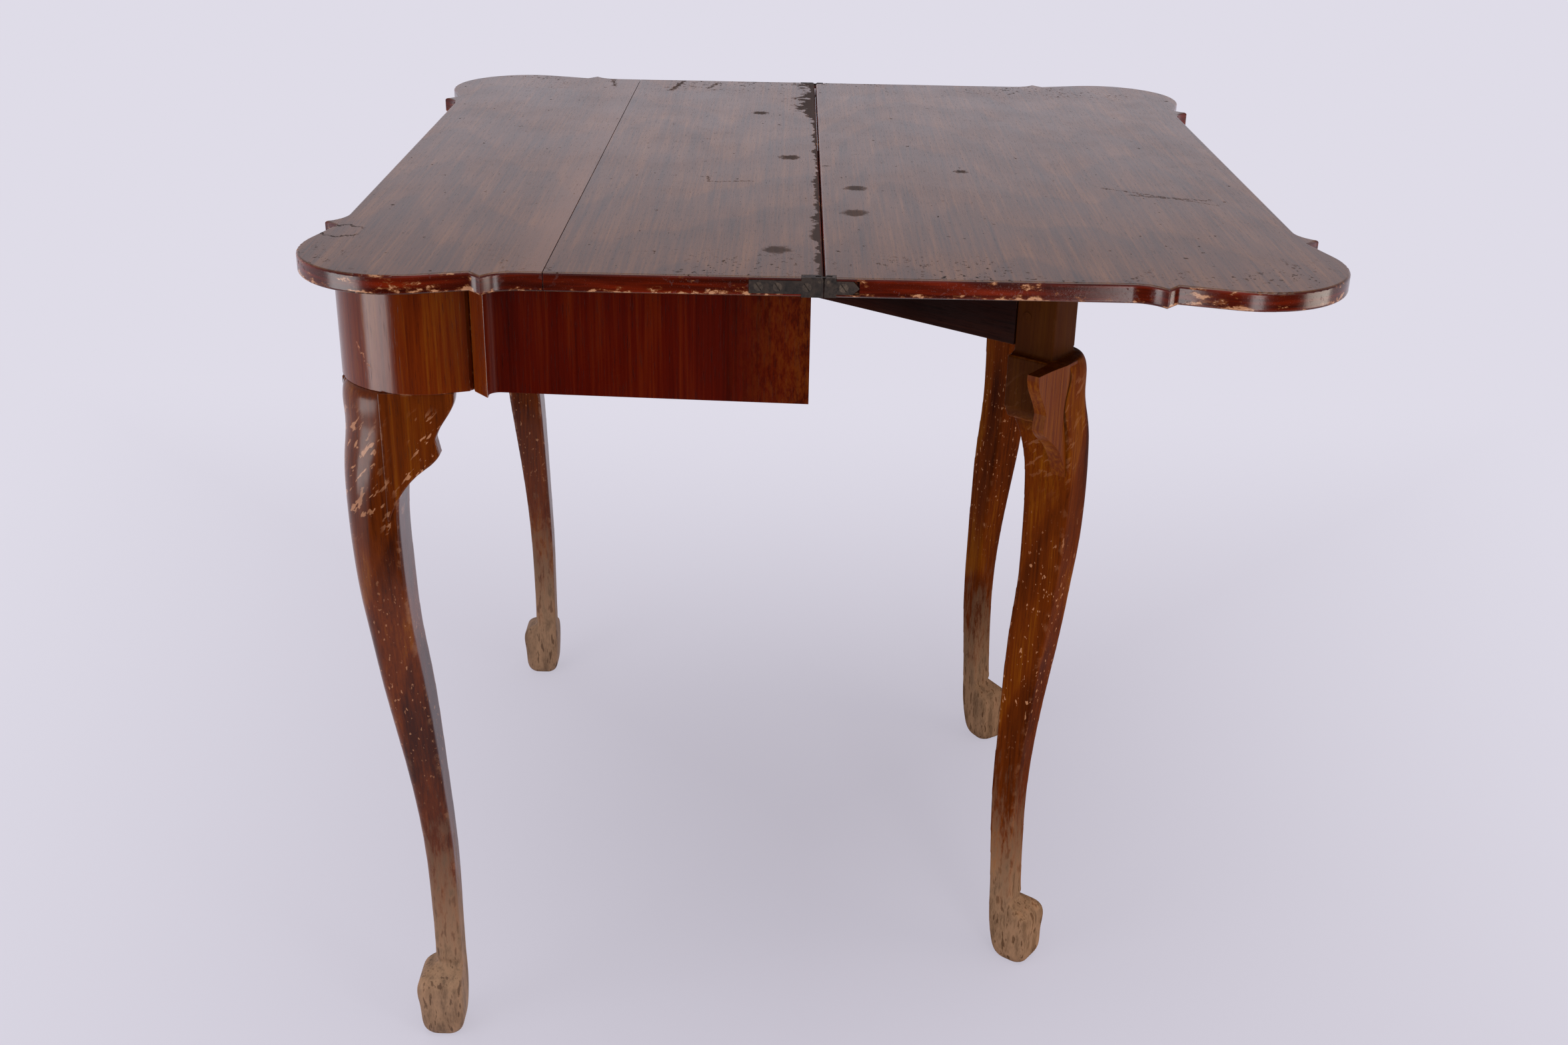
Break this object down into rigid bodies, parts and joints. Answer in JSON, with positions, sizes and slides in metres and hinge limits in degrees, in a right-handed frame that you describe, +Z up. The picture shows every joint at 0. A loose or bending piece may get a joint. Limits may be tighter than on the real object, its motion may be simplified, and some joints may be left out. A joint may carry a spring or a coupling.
{
  "type": "folding card table",
  "caption": "Folding card table with an eared top, round turret corners, cabriole legs, a flap on end hinges and swinging gate legs that hold it open.",
  "frame": {"origin": "on the floor, below the middle of the hinge line of the open top", "axes": "+X to the right as seen from the front, -Y towards the front, where the fixed half is, +Y towards the back, where the flap opens, +Z up"},
  "size_m": [0.82, 0.8, 0.74],
  "materials": {
    "top_wood": "aged satin, worn edges",
    "apron_wood": "aged satin, polished",
    "leg_wood": "aged satin, worn towards the feet",
    "inner_wood": "matt, darkened with age",
    "hinge_brass": "dark patina",
    "iron": "dark, oxidised"
  },
  "bodies": {
    "frame": {"back_rail": "inner_wood", "block_nails": "iron", "front_break_strip_left": "apron_wood", "front_break_strip_right": "apron_wood", "front_knee_bracket_left": "leg_wood", "front_knee_bracket_right": "leg_wood", "front_leg_left": "leg_wood", "front_leg_right": "leg_wood", "front_rail": "apron_wood", "gate_hinge_block": "inner_wood", "gate_pin_left": "iron", "gate_pin_right": "iron", "glue_blocks": "inner_wood", "hinge_leaf_fixed_left": "hinge_brass", "hinge_leaf_fixed_right": "hinge_brass", "hinge_pins_fixed": "hinge_brass", "hinge_screws_fixed": "iron", "side_break_strip_left": "apron_wood", "side_break_strip_right": "apron_wood", "side_knee_bracket_left": "leg_wood", "side_knee_bracket_right": "leg_wood", "side_rail_left": "apron_wood", "side_rail_right": "apron_wood", "top_back_board": "top_wood", "top_front_board": "top_wood", "top_screws": "iron", "turret_left": "apron_wood", "turret_right": "apron_wood"},
    "hinge_links": {"hinge_link_right": "hinge_brass", "hinge_link_left": "hinge_brass"},
    "flap": {"flap_board": "top_wood", "hinge_leaf_flap_right": "hinge_brass", "hinge_leaf_flap_left": "hinge_brass", "hinge_pins_flap": "hinge_brass", "hinge_screws_flap": "iron"},
    "gate_right": {"gate_rail_right": "inner_wood", "gate_leg_right": "leg_wood", "gate_knee_bracket_right": "leg_wood", "gate_pegs_right": "inner_wood"},
    "gate_left": {"gate_rail_left": "inner_wood", "gate_leg_left": "leg_wood", "gate_knee_bracket_left": "leg_wood", "gate_pegs_left": "inner_wood"}
  },
  "joints": [
    {"name": "links_turn", "type": "hinge", "parent": "frame", "child": "hinge_links", "pos_m": [0, -0.0032, 0.7369], "axis": [1, 0, 0], "range_deg": [0, 90]},
    {"name": "flap_turn", "type": "hinge", "parent": "hinge_links", "child": "flap", "pos_m": [0, 0.0032, 0.7369], "axis": [1, 0, 0], "range_deg": [0, 90]},
    {"name": "gate_swing_right", "type": "hinge", "parent": "frame", "child": "gate_right", "pos_m": [0.084, -0.03, 0.68], "axis": [0, 0, 1], "range_deg": [-53, 5]},
    {"name": "gate_swing_left", "type": "hinge", "parent": "frame", "child": "gate_left", "pos_m": [-0.084, -0.03, 0.68], "axis": [0, 0, 1], "range_deg": [0, 58]}
  ]
}
